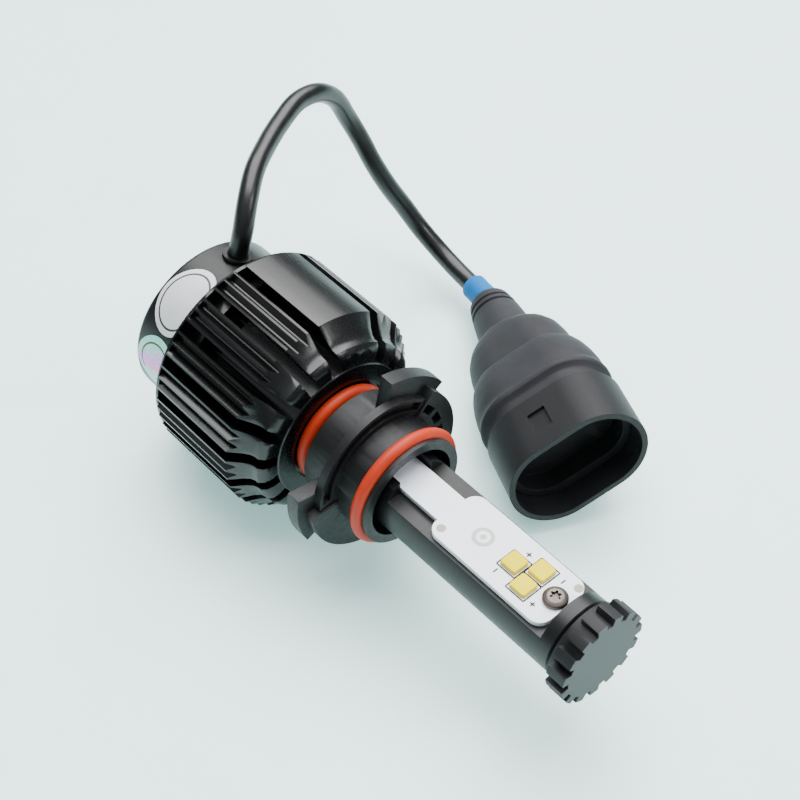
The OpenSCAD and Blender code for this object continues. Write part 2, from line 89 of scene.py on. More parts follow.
def mesh_piece(name, points, faces, body):
    """A smooth-shaded object at the origin, with its place in its mesh, riding
    on a body."""
    mesh = bpy.data.meshes.new(name)
    mesh.from_pydata(np.asarray(points, float).tolist(), [], faces)
    mesh.validate()
    mesh.polygons.foreach_set("use_smooth", [True] * len(mesh.polygons))
    piece = bpy.data.objects.new(name, mesh)
    bpy.context.scene.collection.objects.link(piece)
    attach(piece, body)
    return piece


def skin(name, rings, body, closed=False, crease_deg=40):
    """Skin over rings of points, an array of ring by place by xyz.

    Neighbouring rings are joined by four-sided faces. A closed skin joins its
    last ring to its first, and otherwise each end is shut by a fan to its
    middle. The volume under the faces, seen from the piece's middle, is summed,
    and if it comes out negative all faces are turned.
    """
    count, around = rings.shape[:2]
    index = np.arange(count * around).reshape(count, around)
    far = np.roll(index, -1, 0) if closed else index[1:]
    near = index if closed else index[:-1]
    quads = np.stack(
        [near, np.roll(near, -1, 1), np.roll(far, -1, 1), far], -1).reshape(-1, 4)
    points = rings.reshape(-1, 3)
    faces = quads.tolist()
    if not closed:
        points = np.vstack([points, rings[0].mean(0), rings[-1].mean(0)])
        start, end = count * around, count * around + 1
        first = np.column_stack(
            [np.full(around, start), np.roll(index[0], -1), index[0]])
        last = np.column_stack([np.full(around, end), index[-1], np.roll(index[-1], -1)])
        faces += first.tolist() + last.tolist()
    corner = points[quads]
    normal = np.cross(corner[:, 2] - corner[:, 0], corner[:, 3] - corner[:, 1])
    middle = points.mean(0)
    if ((corner.mean(1) - middle) * normal).sum() < 0:
        faces = [f[::-1] for f in faces]
    piece = mesh_piece(name, points, faces, body)
    piece.data.set_sharp_from_angle(angle=np.radians(crease_deg))
    return piece


def smooth_line(points, steps):
    """Catmull-Rom curve through the points: each stretch is the cubic that
    leaves and meets its ends along the line between their neighbours."""
    p = np.vstack([points[:1], points, points[-1:]])
    a, b, c, d = (p[i:len(p) - 3 + i, None] for i in range(4))
    t = (np.arange(steps) / steps)[None, :, None]
    run = b + 0.5 * t * (c - a + t * (2 * a - 5 * b + 4 * c - d
                                      + t * (3 * (b - c) + d - a)))
    return np.vstack([run.reshape(-1, 3), points[-1:]])


def carried_sides(line):
    """Two sideways directions at each point of a line, carried without twist:
    the first is the one before it, less its part along the line, and the
    second is square to both."""
    way = np.gradient(line, axis=0)
    way /= np.linalg.norm(way, axis=1)[:, None]
    u = np.empty_like(way)
    last = np.cross(way[0], (1, 0, 0))
    for i, t in enumerate(way):
        last = last - t * (last @ t)
        last /= np.linalg.norm(last)
        u[i] = last
    return u, np.cross(way, u)


def tube_rings(line, radii, sides):
    """Circles of the given radii square to a line, one at each of its points."""
    u, v = carried_sides(line)
    a = np.arange(sides) * TURN / sides
    spread = u[:, None] * np.cos(a)[:, None] + v[:, None] * np.sin(a)[:, None]
    return line[:, None] + np.asarray(radii)[:, None, None] * spread


# The cable's middle line, from the gland to the plug's boot
CABLE_ROUTE = np.array([
    [-50.4, 4.3, 14.9], [-50.5, 6, 20], [-52.5, 9, 24], [-56, 13.5, 26],
    [-60, 19.5, 26], [-63, 25, 26], [-65.5, 31, 26], [-66.5, 36.5, 24.5],
    [-67, 41, 20.5], [-66.5, 43.5, 15], [-64.5, 45, 10], [-62, 46, 5],
    [-59.5, 47.5, 0], [-57, 49.5, -5], [-54, 51, -9.5], [-49.5, 52, -13],
    [-44.5, 52, -14.5], [-39, 51.4, -14.7], [-33.6, 50.3, -14]]) * MM
CABLE_D = 3.7 * MM


def make_cable():
    """A round jacket: circles of the cable's radius carried along the smooth
    line through the route. It gives the piece and that line."""
    line = smooth_line(CABLE_ROUTE, steps=12)
    rings = tube_rings(line, np.full(len(line), CABLE_D / 2), sides=32)
    piece = skin("cable_jacket", rings, HOUSING)
    return piece, line


make_camera()
cable, cable_line = make_cable()


# ---- Materials ----

def linear(hex_colour):
    """An sRGB hex colour as linear red, green, blue and alpha."""
    value = np.array([int(hex_colour[i:i + 2], 16) for i in (1, 3, 5)]) / 255
    low = value / 12.92
    high = ((value + 0.055) / 1.055) ** 2.4
    return (*np.where(value <= 0.04045, low, high).tolist(), 1.0)


def add(tree, kind, inputs=None, **settings):
    """Adds a node, sets its settings, and fills or links its inputs."""
    made = tree.nodes.new(kind)
    for key, value in settings.items():
        setattr(made, key, value)
    for key, value in (inputs or {}).items():
        if isinstance(value, bpy.types.NodeSocket):
            tree.links.new(value, made.inputs[key])
        else:
            made.inputs[key].default_value = value
    return made


def surface(name, dark, light, rough, grain_mm, depth_mm, stretch=(1, 1, 1),
            fixed=None, paint=None):
    """A finish in one physical shader.

    A fine grain, drawn out by stretch, moves the roughness and the relief, and
    clouds 9 mm across move the colour between dark and light. paint, if given,
    adds what is printed or coated on top of that colour.
    """
    cloud_size = 9 * MM
    noise_low, noise_high = 0.3, 0.7
    material = bpy.data.materials.new(name)
    material.use_nodes = True
    tree = material.node_tree
    tree.nodes.clear()
    place = add(tree, "ShaderNodeTexCoord").outputs["Object"]
    spot = add(tree, "ShaderNodeMapping",
               {"Vector": place, "Scale": tuple(1 / (grain_mm * MM * s) for s in stretch)})
    fine = add(tree, "ShaderNodeTexNoise",
               {"Vector": spot.outputs["Vector"], "Scale": 1.0, "Detail": 3})
    cloud = add(tree, "ShaderNodeTexNoise",
                {"Vector": place, "Scale": 1 / cloud_size, "Detail": 2})
    share = add(tree, "ShaderNodeMapRange",
                {"Value": cloud.outputs["Fac"], "From Min": noise_low, "From Max": noise_high})
    colour = add(tree, "ShaderNodeMix",
                 {"Factor": share.outputs["Result"],
                  MIX_A: linear(dark), MIX_B: linear(light)},
                 data_type="RGBA").outputs[MIX_OUT]
    roughness = add(tree, "ShaderNodeMapRange",
                    {"Value": fine.outputs["Fac"], "From Min": noise_low, "From Max": noise_high,
                     "To Min": rough[0], "To Max": rough[1]})
    relief = add(tree, "ShaderNodeBump",
                 {"Height": fine.outputs["Fac"], "Distance": depth_mm * MM, "Strength": 1.0})
    inputs = {
        "Base Color": paint(tree, place, colour) if paint else colour,
        "Roughness": roughness.outputs["Result"],
        "Normal": relief.outputs["Normal"],
    }
    inputs.update(fixed or {})
    shader = add(tree, "ShaderNodeBsdfPrincipled", inputs)
    add(tree, "ShaderNodeOutputMaterial", {"Surface": shader.outputs["BSDF"]})
    return material


def gloss_anodised():
    """Black anodised aluminium, extruded: drawn lines along X break up a deep
    black whose flats still mirror the soft boxes."""
    return surface("drawn_black_anodised_aluminium", "#040405", "#070708",
                   (0.24, 0.28), 0.35, 0.0006, (14, 1, 1), {"Specular IOR Level": 0.5})


def satin_anodised():
    """Turned and satin anodised aluminium: rings from the lathe run around
    the axis, so the grain is short along X and long across it."""
    return surface("satin_black_anodised_aluminium", "#0a0a0b", "#0f0f11",
                   (0.34, 0.44), 0.25, 0.003, (1, 30, 30), {"Specular IOR Level": 0.35})


def milled_cap():
    """Blasted and anodised aluminium: the colour is a dull grey on the flat face in front of the
    teeth and black on the teeth."""
    face_depth = 0.12 * MM
    face_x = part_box("end_cap")[1].x - face_depth

    def grey_face(tree, place, colour):
        split = add(tree, "ShaderNodeSeparateXYZ", {"Vector": place})
        front = add(tree, "ShaderNodeMath", {0: split.outputs["X"], 1: face_x},
                    operation="GREATER_THAN")
        return add(tree, "ShaderNodeMix",
                   {"Factor": front.outputs["Value"],
                    MIX_A: colour, MIX_B: linear("#383d3f")},
                   data_type="RGBA").outputs[MIX_OUT]

    return surface("blasted_aluminium_cap", "#0c0c0e", "#131416", (0.5, 0.62), 0.12, 0.01,
                   fixed={"Specular IOR Level": 0.35}, paint=grey_face)


def powder_cover():
    """Powder coated aluminium: a satin black with a faint orange peel."""
    return surface("satin_black_powder_coat", "#09090b", "#0e0e11",
                   (0.30, 0.40), 0.5, 0.006, fixed={"Specular IOR Level": 0.35})


def glass_nylon():
    """Glass-filled nylon, injection moulded: short fibres show as faint
    streaks around the ring and as a dry satin sheen."""
    return surface("glass_filled_nylon", "#0d0d0f", "#141416",
                   (0.38, 0.5), 0.3, 0.008, (1, 3, 3), {"Specular IOR Level": 0.32})


def silicone_seal():
    """Red silicone rubber, moulded: an even soft orange red with a waxy
    highlight."""
    return surface("red_silicone_rubber", "#b02a0e", "#bf3512", (0.4, 0.5), 0.25, 0.008,
                   fixed={"Specular IOR Level": 0.3, "Subsurface Weight": 0.08,
                          "Subsurface Scale": 1 * MM})


def solder_mask():
    """White solder mask over copper: a bluish white, half-gloss lacquer that
    pools very slightly over the tracks."""
    return surface("white_solder_mask", "#f0f4ff", "#f8faff", (0.26, 0.36), 0.9, 0.01)


def phosphor():
    """Phosphor in silicone over the LED dies: grainy and a strong yellow. The LEDs are off, and
    a faint yellow painted glow keeps the yellow strong."""
    # The faint yellow emission is a painted glow on chips that are not lit.
    return surface("yellow_phosphor_painted_glow", "#ecd400", "#f6e200", (0.6, 0.75), 0.22, 0.02,
                   fixed={"Specular IOR Level": 0.05, "Emission Color": linear("#ffee00"),
                          "Emission Strength": 0.12})


def chip_ceramic():
    """Pressed alumina carrier of an LED: matte, warm cream."""
    return surface("alumina_ceramic", "#cdb45e", "#dcc56e", (0.5, 0.6), 0.2, 0.01)


def zinc_steel():
    """Zinc plated steel, turned and tumbled: a warm grey metal with a
    slightly cloudy shine."""
    return surface("zinc_plated_steel", "#5d5651", "#756d66", (0.38, 0.5), 0.4, 0.008,
                   fixed={"Metallic": 1.0})


def ink(name, colour):
    """Screen-printed ink: a dry, flat film with a slightly uneven edge."""
    return surface(name, colour, colour, (0.5, 0.65), 0.2, 0.004)


def cable_pvc():
    """Extruded soft PVC: black with a long satin highlight and faint waves."""
    return surface("black_pvc_jacket", "#060607", "#0a0a0b", (0.28, 0.38), 1.2, 0.01)


def shrink_sleeve():
    """Heat-shrunk polyolefin: bright blue with small soft wrinkles."""
    return surface("blue_heat_shrink", "#005f9c", "#006eb2", (0.45, 0.6), 0.8, 0.03,
                   fixed={"Specular IOR Level": 0.15})


def boot_rubber():
    """Thermoplastic rubber with a spark-eroded mould finish: dark grey and
    matte, with a fine even texture."""
    return surface("matte_thermoplastic_rubber", "#27272a", "#303034",
                   (0.55, 0.68), 0.18, 0.012, fixed={"Specular IOR Level": 0.25})


def plug_nylon():
    """Moulded nylon: dark grey, a little smoother than the rubber boot."""
    return surface("moulded_nylon", "#151517", "#1b1b1e", (0.45, 0.58), 0.22, 0.01,
                   fixed={"Specular IOR Level": 0.28})


def label_ring(tree, place, angle_deg, half_y_mm, inner, outer):
    """1 on a thin ring inside a label's edge and 0 elsewhere, and the two
    places across the label that it comes from.

    Each place is the distance from the label's middle as a share of its half
    size: along the axis, and along the curve of the cover. The ring is where
    the length of the two together lies between inner and outer.
    """
    mid_x = -49.6 * MM
    half_x = 5 * MM
    cover_r = 15.8 * MM
    split = add(tree, "ShaderNodeSeparateXYZ", {"Vector": place})
    angle = add(tree, "ShaderNodeMath", {0: split.outputs["Z"], 1: split.outputs["Y"]},
                operation="ARCTAN2").outputs["Value"]
    swing = add(tree, "ShaderNodeMath", {0: angle, 1: np.radians(angle_deg)},
                operation="SUBTRACT").outputs["Value"]
    along = add(tree, "ShaderNodeMath", {0: split.outputs["X"], 1: mid_x},
                operation="SUBTRACT").outputs["Value"]
    u = add(tree, "ShaderNodeMath", {0: along, 1: 1 / half_x},
            operation="MULTIPLY").outputs["Value"]
    v = add(tree, "ShaderNodeMath", {0: swing, 1: cover_r / (half_y_mm * MM)},
            operation="MULTIPLY").outputs["Value"]
    flat = add(tree, "ShaderNodeCombineXYZ", {"X": u, "Y": v}).outputs["Vector"]
    away = add(tree, "ShaderNodeVectorMath", {0: flat}, operation="LENGTH").outputs["Value"]
    past = add(tree, "ShaderNodeMath", {0: away, 1: inner},
               operation="GREATER_THAN").outputs["Value"]
    short = add(tree, "ShaderNodeMath", {0: away, 1: outer},
                operation="LESS_THAN").outputs["Value"]
    ring = add(tree, "ShaderNodeMath", {0: past, 1: short},
               operation="MULTIPLY").outputs["Value"]
    return ring, u, v


def silver_foil():
    """Matte silver polyester film: a light, even grey with one thin dark
    printed ring."""
    def printed(tree, place, colour):
        ring, _, _ = label_ring(tree, place, angle_deg=122, half_y_mm=6.8,
                                inner=0.80, outer=0.86)
        return add(tree, "ShaderNodeMix",
                   {"Factor": ring, MIX_A: colour, MIX_B: linear("#2a2a2c")},
                   data_type="RGBA").outputs[MIX_OUT]

    return surface("silver_polyester_label", "#c6c7ca", "#d6d7da", (0.34, 0.44), 0.3, 0.004,
                   paint=printed)


def rainbow_foil():
    """Embossed diffraction foil with one thin dark printed ring. The rainbow that its
    diffraction throws back is painted on as soft fixed stripes of pastel colour across it, a
    painted reflection."""
    # Painted reflection: the diffraction rainbow as fixed stripes of pastel colour.
    def painted_rainbow_bands(tree, place, colour):
        ring, u, v = label_ring(tree, place, angle_deg=171, half_y_mm=5.5,
                                inner=0.72, outer=0.79)
        tilt = 0.45
        base_film = 0.12
        slant = add(tree, "ShaderNodeMath", {0: u, 1: tilt, 2: v},
                    operation="MULTIPLY_ADD").outputs["Value"]
        spread = add(tree, "ShaderNodeMapRange",
                     {"Value": slant, "From Min": -1.3, "From Max": 1.3})
        ramp = add(tree, "ShaderNodeValToRGB", {"Fac": spread.outputs["Result"]})
        stops = [(0.0, "#74cfd4"), (0.22, "#86dfb6"), (0.4, "#d09ae6"),
                 (0.55, "#ea7fd2"), (0.7, "#e9dc6a"), (0.85, "#8fe08c"), (1.0, "#74cfd4")]
        elements = ramp.color_ramp.elements
        while len(elements) < len(stops):
            elements.new(0.5)
        for element, (position, hue) in zip(elements, stops):
            element.position = position
            element.color = linear(hue)
        foil = add(tree, "ShaderNodeMix",
                   {"Factor": base_film, MIX_A: ramp.outputs["Color"], MIX_B: colour},
                   data_type="RGBA").outputs[MIX_OUT]
        return add(tree, "ShaderNodeMix",
                   {"Factor": ring, MIX_A: foil, MIX_B: linear("#26262a")},
                   data_type="RGBA").outputs[MIX_OUT]

    return surface("diffraction_foil_label", "#b9c4bd", "#d3dcd6", (0.2, 0.3), 0.3, 0.004,
                   fixed={"Metallic": 0.2}, paint=painted_rainbow_bands)


def hidden_finishes():
    """Finishes of the fan, the driver and the socket's blades."""
    return {
        # Moulded PBT: black and slightly grainy
        "pbt": surface("moulded_pbt", "#151517", "#1f1f22", (0.45, 0.55), 0.25, 0.01),
        # Bonded ferrite: dull dark grey, with a powdery grain
        "ferrite": surface("bonded_ferrite", "#2c2d30", "#3b3c3f", (0.6, 0.75), 0.12, 0.012),
        # Enamelled copper wire: close windings with a warm shine
        "copper": surface("enamelled_copper", "#8a3f1c", "#b8642f", (0.25, 0.4), 0.2, 0.05,
                          (1, 4, 4), {"Metallic": 1.0}),
        # Sintered bronze: a porous, oily brown metal
        "bronze": surface("sintered_bronze", "#8a6330", "#a97c42", (0.35, 0.5), 0.12, 0.02,
                          fixed={"Metallic": 1.0}),
        # Solder mask on a glass-epoxy board: a half-gloss green lacquer
        "green_board": surface("green_solder_mask", "#16502a", "#1f6a38", (0.28, 0.38), 0.6,
                               0.015),
        # Drawn aluminium can: bright, with faint lines along the draw
        "can": surface("drawn_aluminium", "#b5b8bd", "#cdd0d4", (0.25, 0.35), 0.2, 0.006,
                       (8, 1, 1), {"Metallic": 1.0}),
        # Moulded epoxy chip body: a dull black with a fine grain
        "epoxy": surface("moulded_epoxy", "#131315", "#1b1b1d", (0.5, 0.62), 0.15, 0.008),
        # Tin plate over brass: a soft, slightly warm grey shine
        "tin": surface("tin_plate", "#a39d92", "#bbb5a9", (0.25, 0.4), 0.5, 0.006,
                       fixed={"Metallic": 1.0}),
    }


def dress(piece, material):
    """Gives a piece one material all over."""
    piece.data.materials.clear()
    piece.data.materials.append(material)


# ---- Pieces that keep the frame's shape, with softened edges ----

def soften(node, width_mm, body):
    """A copy of a frame node with its sharp edges broken by a narrow bevel.

    The copy's doubled points are merged and its flat triangles joined before
    the bevel, so that the bevel follows the real edges only.
    """
    weld = 0.004 * MM
    flat, corner = np.radians((1, 28))
    source = frame["nodes"][node]
    mesh = source.data.copy()
    mesh.name = node + "_skin"
    work = bmesh.new()
    work.from_mesh(mesh)
    bmesh.ops.remove_doubles(work, verts=work.verts, dist=weld)
    bmesh.ops.dissolve_limit(work, angle_limit=flat, verts=work.verts, edges=work.edges)
    bmesh.ops.recalc_face_normals(work, faces=work.faces)
    work.to_mesh(mesh)
    work.free()
    mesh.polygons.foreach_set("use_smooth", [True] * len(mesh.polygons))
    piece = bpy.data.objects.new(node + "_skin", mesh)
    bpy.context.scene.collection.objects.link(piece)
    bevel = piece.modifiers.new("edge_break", "BEVEL")
    bevel.width = width_mm * MM
    bevel.segments = 2
    bevel.limit_method = "ANGLE"
    bevel.angle_limit = corner
    bevel.harden_normals = True
    mesh.set_sharp_from_angle(angle=corner)
    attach(piece, body)
    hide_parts(node)
    return piece


# Width of the broken edges of each node
EDGE_WIDTHS_MM = {
    "stem": 0.12, "end_cap": 0.15, "heat_sink": 0.07, "rear_cover": 0.1, "collar": 0.12,
    "plug_shell": 0.18, "plug_insert": 0.15, "led_board_top": 0.05, "led_board_bottom": 0.05,
}
softened = {
    node: soften(node, width, COLLAR if node == "collar" else HOUSING)
    for node, width in EDGE_WIDTHS_MM.items()
}


# ---- Sealing rings ----

def make_seal(node, ring_x, ring_r, wire_r, body):
    """A torus: a small circle of the wire's radius carried around the axis.

    The wire swells by a hair, as a bell curve of the angle around it, where
    the two mould halves met at its inner and outer sides.
    """
    around, section = 160, 40
    flash_height, flash_spread = 0.02, 0.12
    a = np.arange(around) * TURN / around
    b = np.arange(section) * TURN / section
    flash = flash_height * np.exp(-(np.sin(b) / flash_spread) ** 2)
    wire = wire_r - flash_height + flash
    radius = ring_r + wire * np.cos(b)
    x = np.broadcast_to(ring_x + wire * np.sin(b), (around, section))
    rings = np.stack([x, radius * np.cos(a)[:, None], radius * np.sin(a)[:, None]], -1)
    piece = skin(node + "_moulded", rings * MM, body, closed=True, crease_deg=80)
    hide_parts(node)
    return piece


front_seal = make_seal("front_o_ring", ring_x=-2, ring_r=10.4, wire_r=1.15, body=COLLAR)
rear_seal = make_seal("rear_o_ring", ring_x=-17.7, ring_r=8.5, wire_r=1.25, body=HOUSING)


# ---- Plug boot ----

def plug_frame():
    """Place and axes of the plug, from the mount at its mouth and its roll."""
    mount = next(m for m in frame["record"]["mounts"] if m["name"] == "plug_socket")
    along = np.array(mount["axis"], float)
    along /= np.linalg.norm(along)
    heading = np.arctan2(along[1], along[0])
    side = np.array([-np.sin(heading), np.cos(heading), 0])
    up = np.cross(along, side)
    roll = np.radians(28.5)
    turned_side = np.cos(roll) * side + np.sin(roll) * up
    turned_up = -np.sin(roll) * side + np.cos(roll) * up
    return np.array(mount["pos_m"], float), np.array([along, turned_side, turned_up])


PLUG_AT, PLUG_AXES = plug_frame()


def in_plug(local_mm):
    """Points in the plug's own axes, in millimetres, put where the plug lies."""
    return PLUG_AT + (local_mm * MM) @ PLUG_AXES


def slot_outline(half_w, half_h, count):
    """Even points around a flat shape with round ends, by length along it."""
    mid = half_w - half_h
    bow = np.pi * half_h
    total = 4 * mid + 2 * bow
    d = np.arange(count) / count * total
    legs = [2 * mid, bow, 2 * mid, bow]
    edges = np.cumsum([0, *legs])
    y = np.zeros(count)
    z = np.zeros(count)
    top = d < edges[1]
    y[top], z[top] = -mid + d[top], half_h
    right = (d >= edges[1]) & (d < edges[2])
    a = np.pi / 2 - (d[right] - edges[1]) / half_h
    y[right], z[right] = mid + half_h * np.cos(a), half_h * np.sin(a)
    under = (d >= edges[2]) & (d < edges[3])
    y[under], z[under] = mid - (d[under] - edges[2]), -half_h
    left = d >= edges[3]
    a = -np.pi / 2 - (d[left] - edges[3]) / half_h
    y[left], z[left] = -mid + half_h * np.cos(a), half_h * np.sin(a)
    return y, z


# Outside of the boot in the plug's own axes, from its front bead to its tail:
# station, half width, half height
BOOT_SLICES = np.array([
    [-13.2, 11.7, 7.5], [-14.9, 11.7, 7.5], [-15.4, 11.9, 7.7], [-15.8, 12.4, 8.2],
    [-16.1, 12.85, 8.65], [-16.5, 13.05, 8.85], [-16.9, 13.05, 8.85], [-17.3, 12.9, 8.7],
    [-17.8, 12.8, 8.6], [-20, 12.75, 8.6], [-22.5, 12.4, 8.4], [-24.4, 11.95, 8.1],
    [-25.9, 11.4, 7.7], [-26.5, 10.95, 7.4], [-26.75, 10.4, 7.1], [-28, 10.4, 7.1],
    [-31, 10.15, 7.0], [-33.4, 9.65, 6.8], [-35.2, 8.75, 6.45], [-36.6, 7.5, 5.95],
    [-37.5, 6.3, 5.5], [-37.9, 5.6, 5.25], [-39, 5.5, 5.2], [-42, 5.2, 5.0],
    [-45.1, 4.85, 4.7], [-45.3, 4.35, 4.2], [-45.8, 4.3, 4.15], [-46, 4.7, 4.55],
    [-46.9, 4.6, 4.45], [-47.1, 4.1, 3.95], [-47.6, 4.05, 3.9], [-47.8, 4.4, 4.25],
    [-49.2, 4.15, 4.05], [-49.9, 3.8, 3.7], [-50.15, 3.3, 3.2]])


def make_boot():
    """Outlines with round ends, blended between slices along the plug's axis.

    The stretch between two slices is cut into three, its size changing
    evenly, and the tail is nearly round because its two half sizes are nearly
    equal.
    """
    cuts, around = 3, 128
    whole = np.arange(len(BOOT_SLICES))
    steps = np.linspace(0, whole[-1], whole[-1] * cuts + 1)
    fine = np.column_stack([np.interp(steps, whole, BOOT_SLICES[:, k]) for k in range(3)])
    rings = []
    for s, half_w, half_h in fine:
        y, z = slot_outline(half_w, half_h, around)
        rings.append(np.column_stack([np.full(around, s), y, z]))
    piece = skin("plug_boot_moulded", in_plug(np.array(rings)), HOUSING, crease_deg=50)
    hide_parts("plug_boot")
    return piece


boot = make_boot()


# ---- Shrink sleeve ----

def make_sleeve():
    """A short thin-walled tube over the cable where it enters the boot: circles
    of the outer radii from rear to front, and of the bore back again."""
    bore_r, around = 1.87, 48
    front = np.array([-32.4, 50, -13.9])
    rear = np.array([-38.8, 51.4, -14.7])
    share = np.array([0, 0.02, 0.06, 0.3, 0.6, 1.0])
    line = (rear + (front - rear) * share[:, None]) * MM
    outer = np.array([2.4, 2.54, 2.6, 2.57, 2.62, 2.63]) * MM
    inner = np.full(len(share), bore_r) * MM
    both = np.vstack([line, line[::-1]])
    u, v = carried_sides(line)
    u, v = np.vstack([u, u[::-1]]), np.vstack([v, v[::-1]])
    radii = np.concatenate([outer, inner])
    a = np.arange(around) * TURN / around
    spread = u[:, None] * np.cos(a)[:, None] + v[:, None] * np.sin(a)[:, None]
    rings = both[:, None] + radii[:, None, None] * spread
    piece = skin("cable_sleeve_shrunk", rings, HOUSING, closed=True)
    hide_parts("cable_sleeve")
    return piece


sleeve = make_sleeve()


# ---- LED boards: chips, screws and print ----

# Height of the upper board's face, and places along and across the board
BOARD_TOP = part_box("led_board_top")[1].z / MM
SCREW_X = 33.2
CHIPS = [(24.1, 0), (28.2, 2.05), (28.2, -2.05)]
SIDES = {"top": 1, "bottom": -1}


def mirrored(rings, side):
    """Rings of points as they are for the upper board, or mirrored for the lower."""
    return rings * (1, 1, side)


def rounded_pad(cx, cy, half, z0, z1):
    """A square pad with rounded corners and a softly crowned top, as rings of
    superellipse outlines that rise and draw in."""
    around, squareness = 48, 0.22
    a = np.arange(around) * TURN / around
    sx = np.sign(np.cos(a)) * np.abs(np.cos(a)) ** squareness
    sy = np.sign(np.sin(a)) * np.abs(np.sin(a)) ** squareness
    grow = np.array([1.0, 1.0, 0.985, 0.94, 0.6, 0.25])
    rise = np.array([0.0, 0.8, 0.93, 0.97, 0.99, 1.0])
    return np.array([
        np.column_stack([cx + half * g * sx, cy + half * g * sy,
                         np.full(around, z0 + (z1 - z0) * r)])
        for g, r in zip(grow, rise)
    ])


def flat_disc(cx, cy, radii, rises):
    """Circles about a point of a board, each of a radius and at a height."""
    around = 48
    a = np.arange(around) * TURN / around
    return np.array([
        np.column_stack([cx + r * np.cos(a), cy + r * np.sin(a), np.full(around, BOARD_TOP + h)])
        for r, h in zip(radii, rises)
    ])


def joined(name, parts, body):
    """Several skins as one piece, each with the material that comes with it."""
    made = []
    for k, (rings, material) in enumerate(parts):
        piece = skin(name + str(k), rings * MM, body)
        piece.data.materials.append(material)
        made.append(piece)
    context = {"active_object": made[0], "selected_editable_objects": made}
    with bpy.context.temp_override(**context):
        bpy.ops.object.join()
    made[0].name = name
    return made[0]


def make_chips(where):
    """Three LEDs of one board: a flat ceramic carrier with a yellow phosphor pad
    that covers all of it but a narrow edge."""
    base, top = BOARD_TOP + 0.02, BOARD_TOP + 0.82
    carrier_half, carrier_high = 1.72, 0.35
    pad_half, pad_sunk = 1.62, 0.3
    parts = []
    for x, y in CHIPS:
        carrier = rounded_pad(x, y, carrier_half, base, base + carrier_high)
        pad = rounded_pad(x, y, pad_half, base + pad_sunk, top)
        parts.append((mirrored(carrier, SIDES[where]), ceramic))
        parts.append((mirrored(pad, SIDES[where]), yellow))
    piece = joined("led_chips_and_pads_" + where, parts, HOUSING)
    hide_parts("led_chips_" + where)
    return piece


def make_screws():
    """Two pan-head screws, one for each board.

    Rings run up the shank, out under the head, over its rounded rim and down
    into a six-lobed socket, whose radius swings with the angle.
    """
    around = 96
    a = np.arange(around) * TURN / around
    seat = BOARD_TOP + 0.02
    shank_end = 0.45
    lobes = 0.78 + 0.2 * np.cos(6 * a)
    rim = [(1.0, shank_end - seat), (1.0, 0), (2.05, 0), (2.1, 0.1), (2.1, 0.5), (2.02, 0.66),
           (1.85, 0.74), (1.5, 0.98), (1.25, 1.06)]
    socket = [(1.06, 1.08), (1.0, 1.05), (0.94, 0.5), (0.4, 0.45)]
    radii = [np.full(around, r) for r, _ in rim] + [lobes * s for s, _ in socket]
    rises = [h for _, h in rim] + [h for _, h in socket]
    rings = np.array([
        np.column_stack([SCREW_X + r * np.cos(a), r * np.sin(a), np.full(around, seat + h)])
        for r, h in zip(radii, rises)
    ])
    parts = [(mirrored(rings, side), screw_metal) for side in SIDES.values()]
    piece = joined("board_screws_turned", parts, HOUSING)
    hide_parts("board_screws")
    return piece


def printed_line(x, y, half_x, half_y):
    """A printed line: a four-cornered film as thin as ink, given by its middle
    and its half sizes."""
    corner = np.array([[x - half_x, y - half_y], [x + half_x, y - half_y],
                       [x + half_x, y + half_y], [x - half_x, y + half_y]])
    return np.array([np.column_stack([corner, np.full(4, BOARD_TOP + h)])
                     for h in (0.003, 0.018)])


def make_print(where):
    """Black frames around the chips, plus and minus signs, two bare round pads
    and one plain round mark in the middle of the board: a disc, a smaller one
    of the board's own lacquer over it, and a dot."""
    half_stroke, frame_half, sign_half = 0.13, 1.99, 0.5
    plus_signs = [(24.4, 3.0), (31.5, -3.3)]
    minus_signs = [(23.0, -3.1), (31.7, 3.3)]
    pads, pad_r = [(11.2, -3.8), (34.2, 4.2)], 0.8
    mark_x = 17
    bars = []
    for x, y in CHIPS:
        for s in (-frame_half, frame_half):
            bars.append((x, y + s, frame_half, half_stroke))
            bars.append((x + s, y, half_stroke, frame_half))
    for x, y in plus_signs:
        bars.append((x, y, sign_half, half_stroke))
        bars.append((x, y, half_stroke, sign_half))
    for x, y in minus_signs:
        bars.append((x, y, half_stroke, sign_half))
    parts = [(printed_line(*bar), black_ink) for bar in bars]
    for x, y in pads:
        disc = flat_disc(x, y, (pad_r, pad_r, 0.9 * pad_r), (0.003, 0.02, 0.025))
        parts.append((disc, pad_ink))
    ring = flat_disc(mark_x, 0, (1.9, 1.9, 1.86), (0.003, 0.018, 0.02))
    inside = flat_disc(mark_x, 0, (1.2, 1.2, 1.17), (0.01, 0.025, 0.027))
    dot = flat_disc(mark_x, 0, (0.55, 0.55, 0.52), (0.012, 0.03, 0.033))
    parts += [(ring, faint_ink), (inside, board_lacquer), (dot, faint_ink)]
    return joined("board_print_" + where,
                  [(mirrored(rings, SIDES[where]), ink_used) for rings, ink_used in parts],
                  HOUSING)


yellow = phosphor()
ceramic = chip_ceramic()
screw_metal = zinc_steel()
board_lacquer = solder_mask()
black_ink = ink("black_screen_ink", "#17171a")
pad_ink = ink("bare_solder_pad", "#a5a295")
faint_ink = ink("faint_grey_ink", "#c3c3bd")
chips = {w: make_chips(w) for w in SIDES}
screws = make_screws()
for where in SIDES:
    make_print(where)


# ---- Finishes on pieces and frame nodes ----

hidden = hidden_finishes()
anodised_sink = gloss_anodised()
anodised_stem = satin_anodised()
nylon = glass_nylon()
seal_rubber = silicone_seal()
jacket = cable_pvc()
shell_nylon = plug_nylon()

